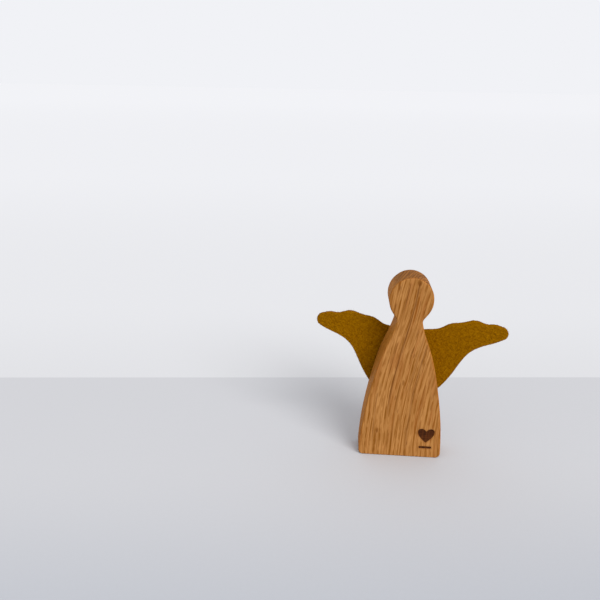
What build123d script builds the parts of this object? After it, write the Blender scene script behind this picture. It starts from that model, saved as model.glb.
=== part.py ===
from build123d import *
import os
from math import cos, radians, sin

# Guardian angel figurine: a sanded oak slab with a pair of felt wings bonded flat to its back.
# Millimetres. +Z is up, +X is to the viewer's right and the figure looks along -Y.
# The origin is on the surface that the figure stands on, at the middle of the oak slab's foot.

# ---- driving dimensions ----------------------------------------------------------------
FIGURE_HEIGHT = 70.0        # foot to crown
SLAB_THICKNESS = 10.0       # planed oak board, front to back
EDGE_ROUND = 0.5            # sanded edge all round the front and the back face

HEAD_HALF_WIDTH = 7.6
HEAD_HALF_HEIGHT = 8.2
JAW_ANGLE = -37.0           # where the head's ellipse runs out into the neck, from +X
NECK_HALF_WIDTH = 4.3
NECK_HEIGHT = 54.3
NECK_ROUND = 0.8            # radius of the saw cut in the notch

FOOT_HALF_WIDTH = 15.2
FOOT_CORNER_ROUND = 1.7
# the gown's side from the neck down to the foot: half width, height
GOWN_SIDE = [(5.4, 50.0), (7.7, 44.0), (11.1, 32.0), (13.4, 20.0), (14.8, 8.0)]

MARK_X = 9.3                # burnt heart, low on the right of the gown
MARK_HEIGHT = 9.4
HEART_HALF_HEIGHT = 3.0
HEART_LOBE = 5.9            # how far the lobes' outer control points stand out
HEART_CLEFT_LEAN = 1.6      # how far the control points beside the cleft stand out
BAR_LENGTH = 4.6            # short burnt line under the heart
BAR_WIDTH = 0.8
BAR_DROP = 5.1              # from the heart's middle down to the bar
BURN_DEPTH = 0.3

FELT_THICKNESS = 2.0
GLUE_THICKNESS = 0.15
WING_PIVOT_HEIGHT = 45.0    # the wings' outline is drawn about this height
WING_SHIFT = 2.0            # the pair sits a little to the right of the slab's middle
WING_TILT = 2.5             # and a little clockwise, in degrees

# one wing's half of the felt, from the middle outwards: x, height above the pivot
WING_TOP = [(0.0, 1.6), (7.4, 2.4), (10.4, 3.1), (12.2, 4.2), (13.8, 5.1), (16.6, 5.7),
            (19.2, 6.3), (22.3, 7.15), (24.6, 6.8), (26.9, 6.1), (29.8, 6.25), (32.6, 5.6)]
WING_TIP = (34.65, 3.2)
WING_UNDERSIDE = [(33.3, 1.1), (31.0, -0.2), (27.7, -1.6), (24.6, -3.1), (22.2, -5.0),
                  (19.6, -8.8), (16.6, -14.8), (13.4, -19.8)]
LOBE_LOWEST = (10.6, -21.3)
LOBE_INNER = (7.6, -19.7)
ARCH_MIDDLE = (0.0, -17.0)

GLUE_BOTTOM = 29.0          # height of the adhesive film's lower edge
GLUE_TOP = 45.5
GLUE_BOTTOM_HALF_WIDTH = 9.5
GLUE_TOP_HALF_WIDTH = 5.0
GLUE_CORNER = 1.0

half_thickness = SLAB_THICKNESS / 2
head_centre_height = FIGURE_HEIGHT - HEAD_HALF_HEIGHT
jaw = (
    HEAD_HALF_WIDTH * cos(radians(JAW_ANGLE)),
    head_centre_height + HEAD_HALF_HEIGHT * sin(radians(JAW_ANGLE)),
)
neck = (NECK_HALF_WIDTH, NECK_HEIGHT)
foot = (FOOT_HALF_WIDTH, 0.0)
tilt = radians(WING_TILT)

back_plane = Plane.XZ.offset(-half_thickness)
mark_plane = Plane(
    origin=(MARK_X, -half_thickness, MARK_HEIGHT),
    x_dir=(1, 0, 0),
    z_dir=(0, -1, 0),
)
felt_plane = Plane(
    origin=(WING_SHIFT, half_thickness + GLUE_THICKNESS, WING_PIVOT_HEIGHT),
    x_dir=(cos(tilt), 0, -sin(tilt)),
    z_dir=(0, -1, 0),
)

# ---- body: oak slab sawn to the figure's outline, edges sanded, mark burnt in ------------
with BuildPart() as body:
    with BuildSketch(Plane.XZ):
        with BuildLine():
            Line((0, 0), foot)
            Spline(foot, *reversed(GOWN_SIDE), neck)
            Line(neck, jaw)
            EllipticalCenterArc(
                (0, head_centre_height),
                HEAD_HALF_WIDTH,
                HEAD_HALF_HEIGHT,
                start_angle=JAW_ANGLE,
                arc_size=90 - JAW_ANGLE,
            )
            Line((0, FIGURE_HEIGHT), (0, 0))
        make_face()
        mirror(about=Plane.YZ)
        foot_line = vertices().group_by(Axis.Y)[0].sort_by(Axis.X)
        fillet([foot_line[0], foot_line[-1]], FOOT_CORNER_ROUND)
        notches = vertices().filter_by_position(Axis.Y, NECK_HEIGHT - 0.1, NECK_HEIGHT + 0.1)
        fillet(notches, NECK_ROUND)
    extrude(amount=half_thickness, both=True)
    flat_faces = faces().filter_by(Axis.Y)
    fillet(flat_faces.edges(), EDGE_ROUND)
    with BuildSketch(mark_plane):
        with BuildLine():
            Bezier(
                (0, HEART_HALF_HEIGHT * 0.5),
                (HEART_CLEFT_LEAN, HEART_HALF_HEIGHT * 1.4),
                (HEART_LOBE, HEART_HALF_HEIGHT * 0.6),
                (0, -HEART_HALF_HEIGHT),
            )
            Line((0, -HEART_HALF_HEIGHT), (0, HEART_HALF_HEIGHT * 0.5))
        make_face()
        mirror(about=Plane.YZ)
        with Locations((0, -BAR_DROP)):
            SlotOverall(BAR_LENGTH, BAR_WIDTH)
    extrude(amount=-BURN_DEPTH, mode=Mode.SUBTRACT)
body.part.label = "body"

# ---- wings: one piece of wool felt, cut as a mirrored pair joined behind the back ----------
with BuildPart() as wings:
    with BuildSketch(felt_plane):
        with BuildLine():
            Spline(*WING_TOP, tangents=[(1, 0), (1, -0.5)])
            ThreePointArc(WING_TOP[-1], WING_TIP, WING_UNDERSIDE[0])
            Spline(*WING_UNDERSIDE)
            ThreePointArc(WING_UNDERSIDE[-1], LOBE_LOWEST, LOBE_INNER)
            Spline(LOBE_INNER, ARCH_MIDDLE, tangents=[(-1, 1), (-1, 0)])
            Line(ARCH_MIDDLE, WING_TOP[0])
        make_face()
        mirror(about=Plane.YZ)
    extrude(amount=-FELT_THICKNESS)
wings.part.label = "wings"

# ---- adhesive film between the felt and the slab's back --------------------------------------
with BuildPart() as adhesive_film:
    with BuildSketch(back_plane):
        with BuildLine():
            Polyline(
                (-GLUE_BOTTOM_HALF_WIDTH, GLUE_BOTTOM),
                (GLUE_BOTTOM_HALF_WIDTH, GLUE_BOTTOM),
                (GLUE_TOP_HALF_WIDTH, GLUE_TOP),
                (-GLUE_TOP_HALF_WIDTH, GLUE_TOP),
                close=True,
            )
        make_face()
        fillet(vertices(), GLUE_CORNER)
    extrude(amount=-GLUE_THICKNESS)
adhesive_film.part.label = "adhesive_film"

os.makedirs("parts", exist_ok=True)
export_step(body.part, "parts/body.step")
export_step(wings.part, "parts/wings.step")
export_step(adhesive_film.part, "parts/adhesive_film.step")
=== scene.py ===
"""Looks of the guardian angel figurine: a sanded oak slab with mustard felt wings on its back.

Metres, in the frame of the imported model: +Z up, the figure looks along -Y. Shapes are worked out
in millimetres and turned into metres where they become a mesh.
"""
from math import cos, pi, radians, sin

import bmesh
import bpy
import numpy as np
from mathutils import Matrix, Vector


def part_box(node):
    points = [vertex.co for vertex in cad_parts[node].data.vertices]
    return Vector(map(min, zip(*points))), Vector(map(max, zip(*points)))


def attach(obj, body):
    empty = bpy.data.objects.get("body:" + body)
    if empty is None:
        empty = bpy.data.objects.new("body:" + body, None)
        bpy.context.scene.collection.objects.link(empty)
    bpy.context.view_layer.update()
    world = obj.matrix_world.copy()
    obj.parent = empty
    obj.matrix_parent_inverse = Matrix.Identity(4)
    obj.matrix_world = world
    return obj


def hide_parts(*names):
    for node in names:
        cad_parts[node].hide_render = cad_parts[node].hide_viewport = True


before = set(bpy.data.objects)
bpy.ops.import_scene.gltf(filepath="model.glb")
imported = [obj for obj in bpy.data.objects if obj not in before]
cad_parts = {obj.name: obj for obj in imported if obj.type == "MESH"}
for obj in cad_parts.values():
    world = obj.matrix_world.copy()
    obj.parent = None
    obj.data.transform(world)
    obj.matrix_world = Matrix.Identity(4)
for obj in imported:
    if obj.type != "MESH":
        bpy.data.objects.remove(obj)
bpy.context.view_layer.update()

# ---------------------------------------------------------------------------------------
# Oak body. One board of flat-sawn oak, planed, sawn to the figure's outline, its edges rounded
# by hand with sandpaper, then thinly oiled. A heart over a short bar is burnt into the front,
# low on the right.
# ---------------------------------------------------------------------------------------
MM = 0.001
body_low, body_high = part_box("body")
HALF_THICKNESS = (body_high.y - body_low.y) / 2 / MM
CROWN = body_high.z / MM
HEAD_HALF_WIDTH = 7.6
HEAD_HALF_HEIGHT = 8.2
JAW_ANGLE = radians(-37)
NECK = (4.3, 54.3)
NECK_ROUND = 0.9            # length of outline on each side of the notch that is rounded
GOWN_SIDE = [(5.4, 50.0), (7.7, 44.0), (11.1, 32.0), (13.4, 20.0), (14.8, 8.0)]
FOOT = (15.2, 0.0)
FOOT_CORNER_ROUND = 1.7
EDGE_ROUND = 0.5
EDGE_UNEVEN = 0.14          # how much the hand-sanded rounding varies
EDGE_WAVES = (3, 18, 8)     # shortest and longest wave along the edge, and how many
ROW_STEP = 0.6              # spacing of the mesh along the outline: on the gown,
HEAD_STEP = 0.32            # round the head,
CROWN_STEP = 0.15           # at the crown, where a row turns quickest,
MARK_STEP = 0.1             # beside the burnt mark,
CORNER_STEP = 0.25          # and round the foot's corner

MARK = (9.3, 9.4)           # middle of the heart
HEART_HALF_HEIGHT = 3.0
HEART_LOBE = 5.9
HEART_CLEFT_LEAN = 1.6
BAR_LENGTH = 4.6
BAR_WIDTH = 0.8
BAR_DROP = 5.1
BURN_DEPTH = 0.3
BURN_WALL = 0.12            # the burnt recess goes down over this width
MARK_REACH = 5.0            # the mark lies within this of its middle, sideways and upwards
UNMARKED = -9.0             # the depth that is given to points past that


def smooth_curve(points, count):
    """count points on the natural cubic spline through the given points. The parameter is the
    chord length; the second derivative runs straight from knot to knot and is zero at the ends."""
    p = np.array(points, float)
    span = np.linalg.norm(np.diff(p, axis=0), axis=1)
    knot = np.concatenate(([0], np.cumsum(span)))
    inner = np.arange(1, len(p) - 1)
    system = np.eye(len(p))
    system[inner, inner - 1] = span[:-1]
    system[inner, inner] = 2 * (span[:-1] + span[1:])
    system[inner, inner + 1] = span[1:]
    wanted = np.zeros_like(p)
    wanted[inner] = 6 * np.diff(np.diff(p, axis=0) / span[:, None], axis=0)
    bend = np.linalg.solve(system, wanted)
    t = np.linspace(0, knot[-1], count)
    i = np.clip(np.searchsorted(knot, t, side="right") - 1, 0, len(p) - 2)
    h = span[i][:, None]
    a = (knot[i + 1] - t)[:, None] / h
    b = 1 - a
    return a * p[i] + b * p[i + 1] + ((a**3 - a) * bend[i] + (b**3 - b) * bend[i + 1]) * h**2 / 6


def arc(centre, half_width, half_height, start, end, count):
    """Points on an ellipse: centre plus (half_width cos a, half_height sin a), for angles a from
    start to end."""
    a = np.linspace(start, end, count)
    return np.stack([centre[0] + half_width * np.cos(a), centre[1] + half_height * np.sin(a)], 1)


def bezier(controls, count):
    """Points on a Bezier curve, by repeated straight mixing of its control points."""
    t = np.linspace(0, 1, count)[:, None]
    level = [np.array(c, float)[None, :] for c in controls]
    while len(level) > 1:
        level = [(1 - t) * a + t * b for a, b in zip(level[:-1], level[1:])]
    return level[0]


def running_length(points):
    """Length along a line of points, from its start to each point."""
    return np.concatenate(([0], np.cumsum(np.linalg.norm(np.diff(points, axis=0), axis=1))))


def spaced(length, step):
    """Places from 0 to length whose spacing follows step(place): the running sum of 1 / step
    is inverted at evenly spaced values."""
    fine = np.linspace(0, length, 6000)
    density = 1 / step(fine)
    count = np.concatenate(([0], np.cumsum((density[1:] + density[:-1]) / 2 * np.diff(fine))))
    return np.interp(np.linspace(0, count[-1], int(round(count[-1])) + 1), count, fine)


def smoothstep(low, high, value):
    """0 below low, 1 above high, and 3 t^2 - 2 t^3 between them."""
    t = np.clip((value - low) / (high - low), 0, 1)
    return t * t * (3 - 2 * t)


def waves(u, v, shortest, longest, count, seed):
    """Smooth random relief of about unit height: the sum of count sine waves that run in random
    directions with random phases and wavelengths between shortest and longest."""
    draw = np.random.default_rng(seed)
    angle = draw.uniform(0, 2 * pi, count)
    number = 2 * pi / np.exp(draw.uniform(np.log(shortest), np.log(longest), count))
    phase = draw.uniform(0, 2 * pi, count)
    total = np.zeros(np.broadcast(u, v).shape)
    for k in range(count):
        total += np.sin(number[k] * (u * cos(angle[k]) + v * sin(angle[k])) + phase[k])
    return total * (2 / count) ** 0.5


def inside_depth(u, v, loop):
    """Distance from each point to a closed loop, positive inside it: the nearest point on every
    side of the loop, signed by how often a ray along +u crosses the loop."""
    a = loop[None, :, :].astype(np.float32)
    b = np.roll(loop, -1, axis=0)[None, :, :].astype(np.float32)
    p = np.stack([np.ravel(u), np.ravel(v)], 1)[:, None, :].astype(np.float32)
    side = b - a
    reach = np.clip(((p - a) * side).sum(2) / ((side**2).sum(2) + 1e-12), 0, 1)
    away = np.sqrt(((p - a - side * reach[..., None]) ** 2).sum(2)).min(1)
    crosses = (a[..., 1] > p[..., 1]) != (b[..., 1] > p[..., 1])
    rise = np.where(side[..., 1] == 0, 1, side[..., 1])
    at = side[..., 0] * (p[..., 1] - a[..., 1]) / rise + a[..., 0]
    odd = (crosses & (p[..., 0] < at)).sum(1) % 2
    return np.where(odd == 1, away, -away).reshape(np.shape(u))


def half_outline():
    """The right half of the figure's outline, from the crown down to the end of the foot's corner:
    an elliptical head, a straight jaw line, the notch rounded by a parabola, the gown's spline,
    and a quarter circle."""
    centre = (0.0, CROWN - HEAD_HALF_HEIGHT)
    head = arc(centre, HEAD_HALF_WIDTH, HEAD_HALF_HEIGHT, pi / 2, JAW_ANGLE, 500)
    jaw = np.linspace(head[-1], NECK, 60)
    side = smooth_curve([NECK, *GOWN_SIDE, FOOT], 1500)
    r = FOOT_CORNER_ROUND
    side = side[side[:, 1] > r]
    corner = arc((side[-1, 0] - r, r), r, r, 0, -pi / 2, 90)
    notch = running_length(np.concatenate([head, jaw[1:]]))[-1]
    line = np.concatenate([head, jaw[1:], side[1:], corner[1:]])
    s = running_length(line)
    start, end = [
        [np.interp(notch + d, s, line[:, k]) for k in (0, 1)] for d in (-NECK_ROUND, NECK_ROUND)
    ]
    rounded = bezier([start, NECK, end], 40)
    return np.concatenate([line[s < notch - NECK_ROUND], rounded, line[s > notch + NECK_ROUND]])


def mark_loops():
    """The two burnt shapes as closed loops: a heart, each half one cubic Bezier curve from the
    cleft to the tip, and a bar with round ends under it."""
    half = bezier(
        [(0, HEART_HALF_HEIGHT * 0.5), (HEART_CLEFT_LEAN, HEART_HALF_HEIGHT * 1.4),
         (HEART_LOBE, HEART_HALF_HEIGHT * 0.6), (0, -HEART_HALF_HEIGHT)], 60)
    heart = np.concatenate([half, half[-2:0:-1] * [-1, 1]]) + MARK
    reach = (BAR_LENGTH - BAR_WIDTH) / 2
    r = BAR_WIDTH / 2
    right = arc((reach, -BAR_DROP), r, r, -pi / 2, pi / 2, 12)
    left = arc((-reach, -BAR_DROP), r, r, pi / 2, 3 * pi / 2, 12)
    return heart, np.concatenate([right, left]) + MARK


def mark_depth(x, z):
    """How far inside the nearest burnt shape each point of the front lies."""
    near = (abs(x - MARK[0]) < MARK_REACH) & (z < MARK[1] + MARK_REACH)
    depth = np.full(np.shape(x), UNMARKED)
    depth[near] = np.maximum(*[inside_depth(x[near], z[near], loop) for loop in mark_loops()])
    return depth


def add_piece(name, points, faces, merge=1e-6):
    """A mesh object from points in millimetres, with meeting points merged, faces turned outwards
    and smooth shading. Its place is in its mesh."""
    mesh = bpy.data.meshes.new(name)
    mesh.from_pydata((points * MM).tolist(), [], faces)
    work = bmesh.new()
    work.from_mesh(mesh)
    bmesh.ops.remove_doubles(work, verts=work.verts, dist=merge)
    bmesh.ops.recalc_face_normals(work, faces=work.faces)
    work.to_mesh(mesh)
    work.free()
    mesh.shade_smooth()
    piece = bpy.data.objects.new(name, mesh)
    bpy.context.scene.collection.objects.link(piece)
    return piece


def grid_faces(rows, columns, first=0, closed=False):
    """Four-sided faces of a grid of points numbered row by row from first. closed joins each
    row's last point to its first."""
    i = np.arange(rows - 1)[:, None]
    j = np.arange(columns if closed else columns - 1)[None, :]
    k = (j + 1) % columns
    corner = [i * columns + j, i * columns + k, (i + 1) * columns + k, (i + 1) * columns + j]
    corner = [np.broadcast_to(c, (rows - 1, j.size)) for c in corner]
    return first + np.stack(corner, -1).reshape(-1, 4)


def read_vertices(mesh, what):
    """Each vertex's place ("co") or normal ("normal"), one row each."""
    flat = np.empty(len(mesh.vertices) * 3, np.float32)
    mesh.vertices.foreach_get(what, flat)
    return flat.reshape(-1, 3)


def paint(mesh, name, values):
    """Stores one number for each vertex, which a material reads by its name."""
    mesh.attributes.new(name, "FLOAT", "POINT").data.foreach_set("value", np.float32(values))


def slab():
    """The oak slab. Each row is a closed loop round the slab at one place of the half outline:
    right wall, back face, left wall, front face. A wall's section is a quarter circle, a straight
    run and a quarter circle, set in along the outline's normal; a face is straight across. The
    foot is straight from the left wall's section to the right one's at the last row."""
    line = half_outline()
    s = running_length(line)
    top_of_mark, bottom_of_mark = [
        np.interp(-z, -line[:, 1], s)
        for z in (MARK[1] + HEART_HALF_HEIGHT + 0.2, MARK[1] - BAR_DROP - 1.0)
    ]

    def row_step(place):
        """The spacing of rows at a place along the outline."""
        head_end = 2.2 * HEAD_HALF_HEIGHT + 4
        step = np.where(place < head_end, HEAD_STEP, ROW_STEP)
        step = np.where(place < 10 * CROWN_STEP, CROWN_STEP, step)
        step = np.where((place > top_of_mark) & (place < bottom_of_mark), MARK_STEP, step)
        return np.where(place > s[-1] - FOOT_CORNER_ROUND * 1.7, CORNER_STEP, step)

    places = spaced(s[-1], row_step)
    centre = np.stack([np.interp(places, s, line[:, k]) for k in (0, 1)], 1)
    run = np.gradient(line, s, axis=0)
    run = np.stack([np.interp(places, s, run[:, k]) for k in (0, 1)], 1)
    run /= np.linalg.norm(run, axis=1)[:, None]
    normal = np.stack([-run[:, 1], run[:, 0]], 1)
    normal[0] = (0, 1)
    normal[-1] = (0, -1)

    fade = smoothstep(0, 4, places)
    uneven = [
        EDGE_ROUND + EDGE_UNEVEN * fade * np.clip(waves(places, 0.0, *EDGE_WAVES, seed), -1, 1)
        for seed in (11, 12, 13, 14)]
    turn = np.linspace(0, pi / 2, 6)
    straight = np.linspace(0, 1, 9)[1:-1]

    def wall(side, front_round, back_round):
        """The wall's section at every row, from the front face's edge to the back face's."""
        f, b = front_round[:, None], back_round[:, None]
        inset = np.concatenate(
            [f * (1 - np.sin(turn)), 0 * f * straight, b * (1 - np.sin(turn[::-1]))], 1)
        y = np.concatenate(
            [-HALF_THICKNESS + f * (1 - np.cos(turn)),
             (-HALF_THICKNESS + f) * (1 - straight) + (HALF_THICKNESS - b) * straight,
             HALF_THICKNESS - b * (1 - np.cos(turn[::-1]))], 1)
        x = side * (centre[:, :1] - normal[:, :1] * inset)
        z = centre[:, 1:] - normal[:, 1:] * inset
        return np.stack([x, y, z], 2)

    right = wall(1, uneven[0], uneven[1])
    left = wall(-1, uneven[2], uneven[3])
    mark_side = (MARK[0] / GOWN_SIDE[-1][0] + 1) / 2

    def column_step(place):
        """The spacing of columns across a face, as a share of its width: close by the mark."""
        return np.where(abs(place - mark_side) < 0.12, 0.0035, 0.017)

    across = spaced(1.0, column_step)
    between = across[1:-1][None, :, None]
    back = right[:, -1:] * between[:, ::-1] + left[:, -1:] * (1 - between[:, ::-1])
    front = left[:, :1] * (1 - between) + right[:, :1] * between
    burnt = smoothstep(-BURN_WALL / 2, BURN_WALL / 2, mark_depth(front[..., 0], front[..., 2]))
    front[..., 1] += BURN_DEPTH * burnt
    loops = np.concatenate([right, back, left[:, ::-1], front], 1)
    rows, columns = loops.shape[:2]

    share = across[:, None, None]
    foot = left[-1][None] * (1 - share) + right[-1][None] * share
    points = np.concatenate([loops.reshape(-1, 3), foot.reshape(-1, 3)])
    faces = np.concatenate([
        grid_faces(rows, columns, closed=True),
        grid_faces(foot.shape[0], foot.shape[1], first=rows * columns),
    ])
    return add_piece("oak_body", points, faces.tolist())


class Wire:
    """One socket of a material's node tree. +, -, * and / add Math nodes, and node() adds any
    other kind."""

    def __init__(self, tree, socket=None):
        self.tree = tree
        self.socket = socket

    def node(self, kind, settings=(), inputs=(), output=0):
        """Adds a node of this kind, makes its settings, then sets its inputs or links the wires
        that feed them, and gives the wire of one of its outputs."""
        made = self.tree.nodes.new(kind)
        for name, value in dict(settings).items():
            setattr(made, name, value)
        for name, value in dict(inputs).items():
            if isinstance(value, Wire):
                self.tree.links.new(value.socket, made.inputs[name])
            else:
                made.inputs[name].default_value = value
        return Wire(self.tree, made.outputs[output])

    def math(self, operation, first, second=0.0):
        """A Math node on one or two wires or numbers."""
        return self.node("ShaderNodeMath", {"operation": operation}, {0: first, 1: second})

    def __add__(self, other):
        return self.math("ADD", self, other)

    def __sub__(self, other):
        return self.math("SUBTRACT", self, other)

    def __rsub__(self, other):
        return self.math("SUBTRACT", other, self)

    def __mul__(self, other):
        return self.math("MULTIPLY", self, other)

    def __truediv__(self, other):
        return self.math("DIVIDE", self, other)

    __radd__ = __add__
    __rmul__ = __mul__

    def rise(self, low, high):
        """0 below low, 1 above high, smooth between. Low may be the larger, which turns it over."""
        return self.node(
            "ShaderNodeMapRange", {"interpolation_type": "SMOOTHSTEP"},
            {"Value": self, "From Min": low, "From Max": high})

    def softplus(self, start, width):
        """A bend that is flat before start and rises one for one after it."""
        lifted = self.math("EXPONENT", (self - start) / width) + 1.0
        return self.math("LOGARITHM", lifted, np.e) * width

    def colour(self, below, above):
        """A colour that goes from below to above as this wire goes from 0 to 1."""
        return self.node(
            "ShaderNodeMix", {"data_type": "RGBA"}, {0: self, 6: below, 7: above}, output=2)

    def tint(self, base, through):
        """The base colour, multiplied by another as far as this wire says."""
        return self.node(
            "ShaderNodeMix", {"data_type": "RGBA", "blend_type": "MULTIPLY"},
            {0: self, 6: base, 7: through}, output=2)

    def relief(self, strength, distance):
        """The normal of a surface raised by this wire, up to a distance in millimetres."""
        return self.node("ShaderNodeBump", {}, {
            "Height": self, "Strength": strength, "Distance": distance * MM})

    def feed(self, shader, name):
        """Links this wire to one of a shader's inputs."""
        self.tree.links.new(self.socket, shader.inputs[name])


def new_material(name):
    """An empty node material: its Principled shader and a bare wire to build from."""
    material = bpy.data.materials.new(name)
    material.use_nodes = True
    tree = material.node_tree
    return material, tree.nodes["Principled BSDF"], Wire(tree)


def object_place(start):
    """The three Object coordinates in millimetres."""
    place = start.node("ShaderNodeTexCoord", output="Object")
    scaled = start.node(
        "ShaderNodeVectorMath", {"operation": "SCALE"}, {0: place, "Scale": 1 / MM})
    return [start.node("ShaderNodeSeparateXYZ", {}, {0: scaled}, output=k) for k in (0, 1, 2)]


def noise(start, x, y, z, detail=2.0, rough=0.5):
    """Perlin noise, 0 to 1 with 0.5 in the middle, at the given coordinates."""
    at = start.node("ShaderNodeCombineXYZ", {}, {0: x, 1: y, 2: z})
    return start.node("ShaderNodeTexNoise", {}, {
        "Vector": at, "Scale": 1.0, "Detail": detail, "Roughness": rough})


def cells(start, x, y, z):
    """Distance to the nearest of a scatter of points, one for each unit cube."""
    at = start.node("ShaderNodeCombineXYZ", {}, {0: x, 1: y, 2: z})
    return start.node("ShaderNodeTexVoronoi", {}, {"Vector": at, "Scale": 1.0}, output="Distance")


def linear(red, green, blue):
    """A shader colour from screen values of 0 to 255."""
    c = np.array([red, green, blue]) / 255
    c = np.where(c <= 0.04045, c / 12.92, ((c + 0.055) / 1.055) ** 2.4)
    return (*c.tolist(), 1.0)


OAK_LIGHT = linear(186, 131, 73)
OAK_DARK = linear(127, 75, 15)
OAK_PORE = linear(90, 44, 10)
OAK_STREAK = linear(98, 50, 6)
OAK_RED = linear(146, 78, 26)
# painted shade and painted yellow reflection of the felt: the side walls' colour is multiplied by
# this
OAK_SIDE_PAINTED_SHADE_AND_REFLECTION = (0.95, 0.82, 0.38, 1.0)
OAK_KNOT = linear(116, 66, 12)
OAK_END = linear(149, 96, 42)
OAK_END_DARK = linear(86, 50, 20)
CHAR = linear(46, 21, 8)
SCORCH = linear(96, 50, 18)
RING_WIDTH = 1.44
RING_START = 20.86          # rings before the board's middle, which places them on the crown
RING_TURN = radians(22)
ROW_GAP = 1.5               # between the rows of rays that stand across the board
# a pin knot and two flecks of the front: place, height, half width, half height, strength
SPOTS = [(2.2, 68.2, 1.0, 1.3, 0.75), (-0.6, 30.6, 0.45, 1.4, 0.6), (-8.7, 10.6, 0.4, 1.3, 0.8)]
# the strongest streaks: place across the grain, half width, lower end, upper end, strength
LONG_STREAKS = [(-6.1, 0.3, 16, 68.5, 1.0), (2.0, 0.26, 0, 46, 0.85), (-9.3, 0.22, 54, 68, 0.8),
                (-3.4, 0.2, 0, 30, 0.6), (5.6, 0.2, 6, 30, 0.5), (-8.3, 0.22, 30, 46, 0.7),
                (-10.6, 0.22, 2, 26, 0.6), (-4.4, 0.2, 50, 62, 0.5), (0.2, 0.22, 22, 50, 0.6)]


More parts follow.
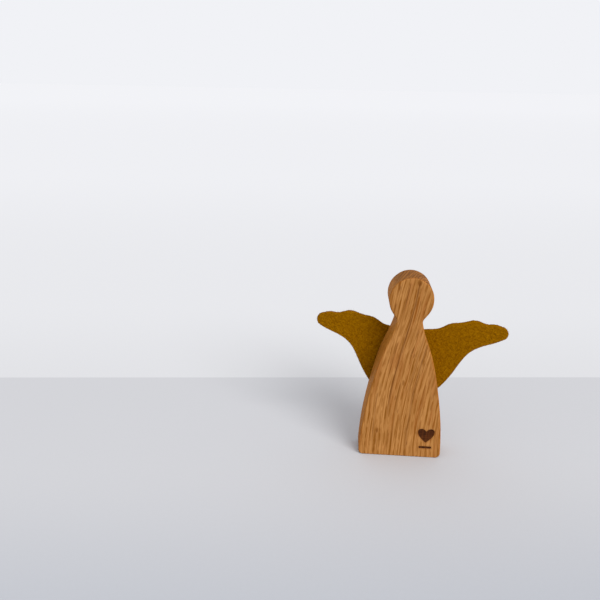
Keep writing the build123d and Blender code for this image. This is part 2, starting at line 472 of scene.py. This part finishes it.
def oak():
    """Sanded, thinly oiled oak, the same solid wood all through. The grain runs up the slab and
    leans over at mid height. Year rings lie at a slant to the faces; early wood is full of
    pores, which are long dark dashes on the faces and dots on the crown; rays run front to back,
    stand in rows, and end on the faces as dark lines and short flecks. The saw-cut walls hardly
    show the rows, and painted shade and a painted yellow reflection of the felt make them darker
    and yellower; the rounded edges are a little redder."""
    material, shader, start = new_material("oak")
    x, y, z = object_place(start)
    lean = z * 0.02 + z.softplus(27, 6) * 0.2 - z.softplus(54, 5) * 0.08
    wander = noise(start, x / 6, y / 9, z / 24, detail=1.0) - 0.5
    across = x - lean + wander * 1.7
    outward = across * sin(RING_TURN) + y * cos(RING_TURN)
    sideways = across * cos(RING_TURN) - y * sin(RING_TURN)

    warp = noise(start, across / 5, y / 5, z / 24) - 0.5
    year = start.math("FRACT", (outward + warp * 1.5) / RING_WIDTH + RING_START)
    early = year.rise(0.0, 0.1) * year.rise(0.7, 0.15)

    broad = noise(start, across / 3.2, y / 3.2, z / 40, detail=1.0).rise(0.3, 0.7)
    streak = noise(start, across * 1.25, y * 1.25, z / 20, detail=1.0).rise(0.36, 0.64)
    thread = noise(start, across * 2.8, y * 2.8, z / 13, detail=1.5, rough=0.6).rise(0.39, 0.61)
    fine = noise(start, across * 7, y * 7, z / 3, detail=1.0).rise(0.3, 0.7)
    side, end, wear, burn = [
        start.node("ShaderNodeAttribute", {"attribute_name": name}, output="Fac")
        for name in ("side", "end_grain", "edge", "burn")]
    rows = start.math("FRACT", (across + warp * 1.5) / ROW_GAP + 20.0)
    rows = rows.rise(0.1, 0.5) * rows.rise(0.95, 0.55) * (1 - side * 0.85)
    rows = rows * noise(start, across / 1.6, y / 1.6, z / 5).rise(0.36, 0.56)
    pore = cells(start, across / 0.4, y / 0.4, z / 6).rise(0.36, 0.12)
    pore = pore * (early * 0.6 + 0.4) * noise(start, across * 1.1, y * 1.1, z / 9).rise(0.4, 0.6)
    ray = cells(start, sideways / 1.1, outward / 14, z / 7).rise(0.2, 0.08)
    ray = ray * noise(start, across / 3, y / 9, z / 7).rise(0.45, 0.62)

    long_streaks = 0.0
    for place, width, low, high, strength in LONG_STREAKS:
        off = start.math("ABSOLUTE", (x - lean) + wander * 0.6 - place)
        ends = z.rise(low, low + 9) * z.rise(high + 0.5, high - 0.5) * strength
        long_streaks = long_streaks + off.rise(width * 1.7, width * 0.3) * ends
    long_streaks = long_streaks * (thread * 0.4 + 0.6)
    spots = 0.0
    for place, height, half_width, half_height, strength in SPOTS:
        off = start.node("ShaderNodeCombineXYZ", {}, {
            0: (x - place) / half_width, 1: 0.0, 2: (z - height) / half_height})
        far = start.node("ShaderNodeVectorMath", {"operation": "LENGTH"}, {0: off}, output="Value")
        spots = spots + far.rise(1.15, 0.4) * strength
    spots = spots * y.rise(0.0, -3.0)

    dark = streak * 0.14 + thread * 0.42 + rows * 0.42 + fine * 0.12
    dark = dark + early * 0.05 + broad * 0.03
    tone = dark.colour(OAK_LIGHT, OAK_DARK)
    blush = noise(start, across / 1.1, y / 1.1, z / 14).rise(0.48, 0.72)
    tone = (blush * 0.3).colour(tone, OAK_RED)
    tone = spots.colour(tone, OAK_KNOT)
    tone = (long_streaks * 0.8).colour(tone, OAK_STREAK)
    lines = start.math("MINIMUM", pore * 0.5 + ray * 0.5, 1.0)
    tone = lines.colour(tone, OAK_PORE)

    end = end.rise(0.35, 0.8)
    end_lines = noise(start, sideways * 2.5, outward / 8, z / 5, detail=2.0).rise(0.38, 0.6)
    end_tone = (end_lines * 0.65 + pore * 0.35 + early * 0.12).colour(OAK_END, OAK_END_DARK)
    tone = end.colour(tone, end_tone)

    # painted shade and painted yellow reflection of the felt on the side walls, as far as a surface
    # faces sideways and is not end grain
    tone = (side * (1 - end)).tint(tone, OAK_SIDE_PAINTED_SHADE_AND_REFLECTION)
    tone = (wear * 0.2).colour(tone, OAK_RED)

    smoke = burn.rise(-0.75, -0.05) * (noise(start, x * 3, y, z * 3).rise(0.2, 0.8) * 0.5 + 0.5)
    tone = (smoke * 0.35).colour(tone, SCORCH)
    charred = burn.rise(-0.1, 0.06)
    passes = noise(start, x / 2, y, z * 7, detail=2.0).rise(0.35, 0.7)
    char_tone = (passes * 0.5 + thread * 0.35).colour(CHAR, SCORCH)
    tone = charred.colour(tone, char_tone)

    rough = 0.62 + lines * 0.1 + long_streaks * 0.08 + thread * 0.05
    rough = rough + end * 0.12 - wear * 0.08 + charred * 0.2
    height = (1 - pore * 0.8) - long_streaks * 0.4 - ray * 0.2 + thread * 0.25 + fine * 0.15
    height = height * (1 - charred) + charred * passes
    tone.feed(shader, "Base Color")
    rough.feed(shader, "Roughness")
    height.relief(strength=0.35, distance=0.06).feed(shader, "Normal")
    shader.inputs["Specular IOR Level"].default_value = 0.07
    return material


GRAIN = Vector((0.12, 0.0, 0.99)).normalized()

oak_body = slab()
oak_body.data.materials.append(oak())
place = read_vertices(oak_body.data, "co") / MM
facing = read_vertices(oak_body.data, "normal")
on_front = place[:, 1] < -HALF_THICKNESS + BURN_DEPTH * 1.2
paint(oak_body.data, "end_grain", abs(facing @ np.array(GRAIN)))
paint(oak_body.data, "side", abs(facing[:, 0]))
paint(oak_body.data, "edge", 4 * facing[:, 1] ** 2 * (1 - facing[:, 1] ** 2))
paint(oak_body.data, "burn", np.where(on_front, mark_depth(place[:, 0], place[:, 2]), UNMARKED))
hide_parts("body")
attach(oak_body, "root")

# ---------------------------------------------------------------------------------------
# Felt wings. One piece of stiff mustard wool felt 2 mm thick, cut as a mirrored pair that is
# joined behind the back, and glued flat to the slab a little to the right and a little turned.
# ---------------------------------------------------------------------------------------
wings_low, wings_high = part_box("wings")
FELT_THICKNESS = (wings_high.y - wings_low.y) / MM
FELT_FRONT = wings_low.y / MM
WING_PIVOT_HEIGHT = 45.0
WING_SHIFT = 2.0
WING_TILT = radians(2.5)
WING_TOP = [(0.0, 1.6), (7.4, 2.4), (10.4, 3.1), (12.2, 4.2), (13.8, 5.1), (16.6, 5.7),
            (19.2, 6.3), (22.3, 7.15), (24.6, 6.8), (26.9, 6.1), (29.8, 6.25), (32.6, 5.6)]
WING_TIP = (34.65, 3.2)
WING_UNDERSIDE = [(33.3, 1.1), (31.0, -0.2), (27.7, -1.6), (24.6, -3.1), (22.2, -5.0),
                  (19.6, -8.8), (16.6, -14.8), (13.4, -19.8)]
LOBE_LOWEST = (10.6, -21.3)
LOBE_INNER = (7.6, -19.7)
ARCH_MIDDLE = (0.0, -17.0)
CUT_ROUND = 0.3             # how far in from the cut edge the felt reaches its full thickness
CUT_SQUARE = 3.4            # power of the cut's section: 2 is round, more is squarer
FELT_LUMPS = 0.05           # height of the unevenness of its surface
CUT_FUZZ = 0.04             # how far the cut edge strays
WING_FREE = 12              # from here outwards the felt is not held by the slab
WING_BOW = -0.4             # how far the tips bend, less than nothing being towards the front
WING_WAVE = 0.12


def arc_through(start, middle, end, count):
    """Points on the circle through three points, from the first past the second to the third."""
    (ax, ay), (bx, by), (cx, cy) = start, middle, end
    d = 2 * (ax * (by - cy) + bx * (cy - ay) + cx * (ay - by))
    a2, b2, c2 = ax**2 + ay**2, bx**2 + by**2, cx**2 + cy**2
    centre = np.array([
        (a2 * (by - cy) + b2 * (cy - ay) + c2 * (ay - by)) / d,
        (a2 * (cx - bx) + b2 * (ax - cx) + c2 * (bx - ax)) / d])
    angle = np.unwrap([
        np.arctan2(p[1] - centre[1], p[0] - centre[0]) for p in (start, middle, end)])
    r = np.hypot(*(np.array(start) - centre))
    return arc(centre, r, r, angle[0], angle[2], count)


def wing_outline():
    """The right wing's outline from the top of the middle round the tip to the bottom of the
    middle: a spline, an arc, a spline, an arc and a parabola."""
    arch_bend = (LOBE_INNER[0] - (ARCH_MIDDLE[1] - LOBE_INNER[1]), ARCH_MIDDLE[1])
    return np.concatenate([
        smooth_curve(WING_TOP, 220),
        arc_through(WING_TOP[-1], WING_TIP, WING_UNDERSIDE[0], 40)[1:],
        smooth_curve(WING_UNDERSIDE, 160)[1:],
        arc_through(WING_UNDERSIDE[-1], LOBE_LOWEST, LOBE_INNER, 24)[1:],
        bezier([LOBE_INNER, arch_bend, ARCH_MIDDLE], 24)[1:],
    ])


def wing_place(x, y, z):
    """From the wings' own plane to the figure: turned clockwise about the pivot and shifted."""
    return np.stack([
        WING_SHIFT + x * cos(WING_TILT) + z * sin(WING_TILT),
        y,
        WING_PIVOT_HEIGHT - x * sin(WING_TILT) + z * cos(WING_TILT)], -1)


def felt_middle(x, z):
    """How far back the felt's middle lies: flat on the slab, its ends bowed forward with the
    square of the distance past the slab, and slightly wavy where it is free."""
    bow = WING_BOW * (np.maximum(abs(x) - WING_FREE, 0) / (WING_TIP[0] - WING_FREE)) ** 2
    wave = WING_WAVE * smoothstep(10, 20, abs(x)) * waves(x, z, 14, 40, 10, 21)
    return FELT_FRONT + FELT_THICKNESS / 2 + bow + wave


def felt_sheet():
    """The felt. Columns run from tip to tip, close together at the tips; each goes from the lower
    edge to the upper one up the front and down the back. Half the thickness follows a
    superellipse of the distance to the cut edge, with soft lumps on top of it."""
    half = wing_outline()
    loop = np.concatenate([half, half[-2:0:-1] * [-1, 1]])
    far = int(half[:, 0].argmax())
    reach = half[far, 0]
    x = reach * np.sin(np.linspace(-pi / 2, pi / 2, 321))
    upper = np.interp(abs(x), half[: far + 1, 0], half[: far + 1, 1])
    lower = np.interp(abs(x), half[far:, 0][::-1], half[far:, 1][::-1])
    share = (1 - np.cos(np.linspace(0, pi, 97))) / 2
    column = np.broadcast_to(x[:, None], (x.size, share.size))
    height = lower[:, None] * (1 - share) + upper[:, None] * share
    depth = np.concatenate([
        inside_depth(column[k : k + 20], height[k : k + 20], loop) for k in range(0, x.size, 20)])
    rim = np.clip(np.maximum(depth, 0) / CUT_ROUND, 0, 1)
    rim[:, [0, -1]] = 0
    rim[[0, -1]] = 0
    swell = (1 - (1 - rim) ** CUT_SQUARE) ** (1 / CUT_SQUARE)
    middle = felt_middle(column, height)
    front_lumps, back_lumps = [
        FELT_LUMPS * rim * waves(column, height, 0.7, 3, 60, seed) for seed in (22, 23)]
    front = middle - swell * (FELT_THICKNESS / 2 + front_lumps)
    back = middle + swell * (FELT_THICKNESS / 2 + back_lumps)
    fuzz = CUT_FUZZ * waves(column, height, 0.4, 1.6, 50, 24) * (1 - rim)
    height = height + np.where(share < 0.5, -1, 1) * fuzz * (abs(column) < reach * 0.985)
    up = wing_place(column, front, height)
    down = wing_place(column, back, height)[:, ::-1]
    loops = np.concatenate([up, down[:, 1:-1]], 1)
    faces = grid_faces(*loops.shape[:2], closed=True)
    return add_piece("felt_wings", loops.reshape(-1, 3), faces.tolist(), merge=2e-6)


FELT = linear(134, 87, 2)
FELT_DARK = linear(108, 64, 1)
FELT_LIGHT = linear(160, 110, 6)


def felt():
    """Mustard wool felt: matted fibres, lighter and darker, in wavy strands that cross at all
    angles, over soft blotches of thicker and thinner wool."""
    material, shader, start = new_material("felt")
    x, y, z = object_place(start)
    blotch = noise(start, x * 1.3, y * 1.3, z * 1.3, detail=3.0, rough=0.6)
    bend_x = (noise(start, x * 1.8, y * 1.8, z * 1.8, detail=1.0) - 0.5) * 1.2
    bend_z = (noise(start, x * 1.8 + 7.0, y * 1.8, z * 1.8 + 3.0, detail=1.0) - 0.5) * 1.2
    u, v = x + bend_x, z + bend_z
    strands = 0.0
    for angle, offset in ((0.3, 0.0), (1.35, 5.0), (2.4, 9.0)):
        along = u * cos(angle) + v * sin(angle)
        over = v * cos(angle) - u * sin(angle)
        strand = noise(start, over * 7.5, y * 7.5 + offset, along * 0.9, detail=1.0)
        strands = strands + strand.rise(0.5, 0.68)
    nap = noise(start, x * 11, y * 11, z * 11, detail=2.0, rough=0.65)
    tone = blotch.rise(0.32, 0.68).colour(FELT_DARK, FELT)
    tone = (strands * 0.38).colour(tone, FELT_LIGHT)
    tone = (nap.rise(0.55, 0.75) * 0.4).colour(tone, FELT_DARK)
    height = strands * 0.6 + nap * 0.7 + blotch * 0.8
    tone.feed(shader, "Base Color")
    (0.9 + nap * 0.1).feed(shader, "Roughness")
    height.relief(strength=0.6, distance=0.12).feed(shader, "Normal")
    shader.inputs["Specular IOR Level"].default_value = 0.0
    shader.inputs["Sheen Weight"].default_value = 0.06
    shader.inputs["Sheen Roughness"].default_value = 0.6
    shader.inputs["Sheen Tint"].default_value = FELT_LIGHT
    return material


felt_wings = felt_sheet()
felt_material = felt()
felt_wings.data.materials.append(felt_material)
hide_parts("wings")
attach(felt_wings, "root")

FIBRE_THICKNESS = 0.026
FIBRE_LENGTHS = (0.2, 0.75)
FIBRE_ROOT = 0.05           # how deep under the cut edge a fibre starts
FIBRE_RINGS = 5
EDGE_FIBRES = 1100
FACE_FIBRES = 900


def loose_fibres():
    """Loose ends of wool. Each is a three-sided tube round a curve that starts just under the
    felt, goes straight out and bends sideways with the square of the way along it. Those of the
    cut edge start anywhere on it; those of the faces lie nearly flat. A tube thins to its end."""
    draw = np.random.default_rng(31)
    half = wing_outline()
    s = running_length(half)
    normal = np.gradient(half, s, axis=0) @ np.array([[0, 1], [-1, 0]])
    normal /= np.linalg.norm(normal, axis=1)[:, None]
    at = draw.uniform(0, s[-1], EDGE_FIBRES)
    x, z, out_x, out_z = [np.interp(at, s, v) for v in (*half.T, *normal.T)]
    tried = draw.uniform(half.min(0), half.max(0), (4 * FACE_FIBRES, 2))
    tried = tried[inside_depth(*tried.T, half) > 0.4][:FACE_FIBRES]
    count = EDGE_FIBRES + len(tried)
    on_edge = np.arange(count) < EDGE_FIBRES
    side = draw.choice([-1, 1], count)
    out_x, out_z = [np.concatenate([v, np.zeros(len(tried))]) for v in (out_x, out_z)]
    x = side * (np.concatenate([x, tried[:, 0]]) - out_x * FIBRE_ROOT)
    z = np.concatenate([z, tried[:, 1]]) - out_z * FIBRE_ROOT
    face = draw.choice([-1, 1], count)
    y = np.where(on_edge, draw.uniform(-0.85, 0.85, count), face) * FELT_THICKNESS / 2
    start = np.stack([x, felt_middle(x, z) + y, z], 1)

    length = draw.uniform(*FIBRE_LENGTHS, count)[:, None]
    turn = draw.uniform(0, 2 * pi, count)
    flat = np.stack([np.cos(turn), face * draw.uniform(0.05, 0.3, count), np.sin(turn)], 1)
    spread = draw.normal(0, 0.5, (count, 3))
    free = np.stack([side * out_x, 0 * x, out_z], 1) + spread
    forward = np.where(on_edge[:, None], free, flat)
    forward /= np.linalg.norm(forward, axis=1)[:, None]
    bend = np.cross(forward, draw.normal(0, 1, (count, 3)))
    bend *= draw.uniform(0.2, 0.8, count)[:, None] / np.linalg.norm(bend, axis=1)[:, None]
    bend[:, 1] *= np.where(on_edge, 1, 0.2)
    across = np.cross(forward, bend)
    across /= np.linalg.norm(across, axis=1)[:, None]
    other = np.cross(forward, across)

    t = np.linspace(0, 1, FIBRE_RINGS)[None, :, None]
    spine = start[:, None] + length[:, None] * (forward[:, None] * t + bend[:, None] * t**2)
    thin = FIBRE_THICKNESS / 2 * (1 - 0.75 * t)
    angle = np.arange(3) * 2 * pi / 3
    ring = across[:, None, None] * np.cos(angle)[:, None]
    ring = ring + other[:, None, None] * np.sin(angle)[:, None]
    points = spine[:, :, None] + ring * thin[..., None]
    place = wing_place(points[..., 0], points[..., 1], points[..., 2])
    one = [tuple(f) for f in grid_faces(FIBRE_RINGS, 3, closed=True).tolist()]
    one += [(0, 1, 2), (3 * FIBRE_RINGS - 1, 3 * FIBRE_RINGS - 2, 3 * FIBRE_RINGS - 3)]
    tubes = [tuple(k + 3 * FIBRE_RINGS * n for k in f) for n in range(count) for f in one]
    return place.reshape(-1, 3), tubes


felt_fibres = add_piece("felt_fibres", *loose_fibres(), merge=1e-8)
felt_fibres.data.materials.append(felt_material)
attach(felt_fibres, "root")

outline = wing_outline()

# ---------------------------------------------------------------------------------------
# Adhesive film. Clear glue, spread thinly between the felt and the slab's back and dried dull
# and slightly yellow. Only its edge could show.
# ---------------------------------------------------------------------------------------
GLUE_THIN = linear(214, 202, 168)
GLUE_THICK = linear(232, 226, 204)


def dried_glue():
    """Dull yellowish film with faint clouds where it dried thicker."""
    material, shader, start = new_material("dried_glue")
    x, y, z = object_place(start)
    cloud = noise(start, x * 0.6, y, z * 0.6, detail=3.0)
    tone = cloud.rise(0.3, 0.7).colour(GLUE_THIN, GLUE_THICK)
    tone.feed(shader, "Base Color")
    (0.4 + cloud * 0.3).feed(shader, "Roughness")
    return material


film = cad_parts["adhesive_film"]
film.data.materials.clear()
film.data.materials.append(dried_glue())

# ---------------------------------------------------------------------------------------
# Studio. A wide pale table; a light grey paper lies on it under the figure and ends just
# behind it. One broad soft lamp far away to the right of the front, and an evenly lit room.
# ---------------------------------------------------------------------------------------
TABLE_HALF = 14.0
PAPER_NORMAL = (-0.1094, 0.9940)    # the paper lies at a slight turn to the figure
PAPER_BACK_EDGE = 0.0592
PAPER_EDGE_BLUR = 0.0002
PAPER_FRONT = linear(169, 172, 178)
PAPER = linear(188, 188, 190)
TABLE_NEAR = linear(200, 200, 201)
TABLE = linear(206, 206, 207)
TABLE_BACK = linear(212, 212, 213)
TABLE_FAR = linear(215, 215, 216)
TOOTH = linear(120, 120, 124)


def paper_and_table():
    """Grey in front of the paper's back edge, lighter towards that edge; near white behind it and
    whiter with distance; with a faint tooth."""
    material, shader, start = new_material("paper_and_table")
    place = start.node("ShaderNodeTexCoord", output="Object")
    x, y = [start.node("ShaderNodeSeparateXYZ", {}, {0: place}, output=k) for k in (0, 1)]
    away = x * PAPER_NORMAL[0] + y * PAPER_NORMAL[1]
    tooth = start.node("ShaderNodeTexNoise", {}, {"Vector": place, "Scale": 900.0, "Detail": 2.0})
    grey = away.rise(-0.11, -0.01).colour(PAPER_FRONT, PAPER)
    grey = away.rise(-0.3, -2.5).colour(grey, TABLE_FAR)
    white = away.rise(0.03, 0.16).colour(TABLE_NEAR, TABLE)
    white = away.rise(0.12, 0.7).colour(white, TABLE_BACK)
    white = away.rise(0.7, 4.0).colour(white, TABLE_FAR)
    edge = away.rise(PAPER_BACK_EDGE - PAPER_EDGE_BLUR, PAPER_BACK_EDGE + PAPER_EDGE_BLUR)
    (tooth * 0.04).colour(edge.colour(grey, white), TOOTH).feed(shader, "Base Color")
    shader.inputs["Roughness"].default_value = 1.0
    shader.inputs["Specular IOR Level"].default_value = 0.0
    return material


table_mesh = bpy.data.meshes.new("table")
corner = TABLE_HALF * np.array([(-1, -1, 0), (1, -1, 0), (1, 1, 0), (-1, 1, 0)])
table_mesh.from_pydata(corner.tolist(), [], [(0, 1, 2, 3)])
table_mesh.materials.append(paper_and_table())
table = bpy.data.objects.new("table", table_mesh)
bpy.context.scene.collection.objects.link(table)

scene = bpy.context.scene
scene.view_settings.view_transform = "Standard"
room = bpy.data.worlds.new("room")
scene.world = room
room.use_nodes = True
room_light = room.node_tree.nodes["Background"]
room_light.inputs["Color"].default_value = linear(241, 242, 246)
room_light.inputs["Strength"].default_value = 1.0

KEY_AZIMUTH = radians(38)       # to the right of straight in front
KEY_ELEVATION = radians(38)
KEY_WIDTH = radians(36)
KEY_STRENGTH = 2.3
lamp = bpy.data.lights.new("key", "SUN")
lamp.energy = KEY_STRENGTH
lamp.angle = KEY_WIDTH
key = bpy.data.objects.new("key", lamp)
towards_key = Vector((
    sin(KEY_AZIMUTH) * cos(KEY_ELEVATION),
    -cos(KEY_AZIMUTH) * cos(KEY_ELEVATION),
    sin(KEY_ELEVATION)))
key.rotation_mode = "QUATERNION"
key.rotation_quaternion = towards_key.to_track_quat("Z", "Y")
scene.collection.objects.link(key)

# ---------------------------------------------------------------------------------------
# Camera: in front, a little to the left and above, looking slightly down, as from a chair.
# ---------------------------------------------------------------------------------------
LENS = 36.275
SENSOR = 36.0
CAMERA_PLACE = (-0.02496, -0.20095, 0.13095)
PITCH = radians(19.753)         # downwards
TURN = radians(3.864)
ROLL = radians(1.092)
camera_data = bpy.data.cameras.new("camera")
camera_data.lens = LENS
camera_data.sensor_width = SENSOR
camera_data.clip_start = 0.01
camera = bpy.data.objects.new("camera", camera_data)
scene.collection.objects.link(camera)
turned, tipped, rolled = [
    Matrix.Rotation(angle, 4, axis)
    for angle, axis in ((TURN, "Z"), (pi / 2 - PITCH, "X"), (ROLL, "Z"))]
camera.matrix_world = Matrix.Translation(CAMERA_PLACE) @ turned @ tipped @ rolled
scene.camera = camera
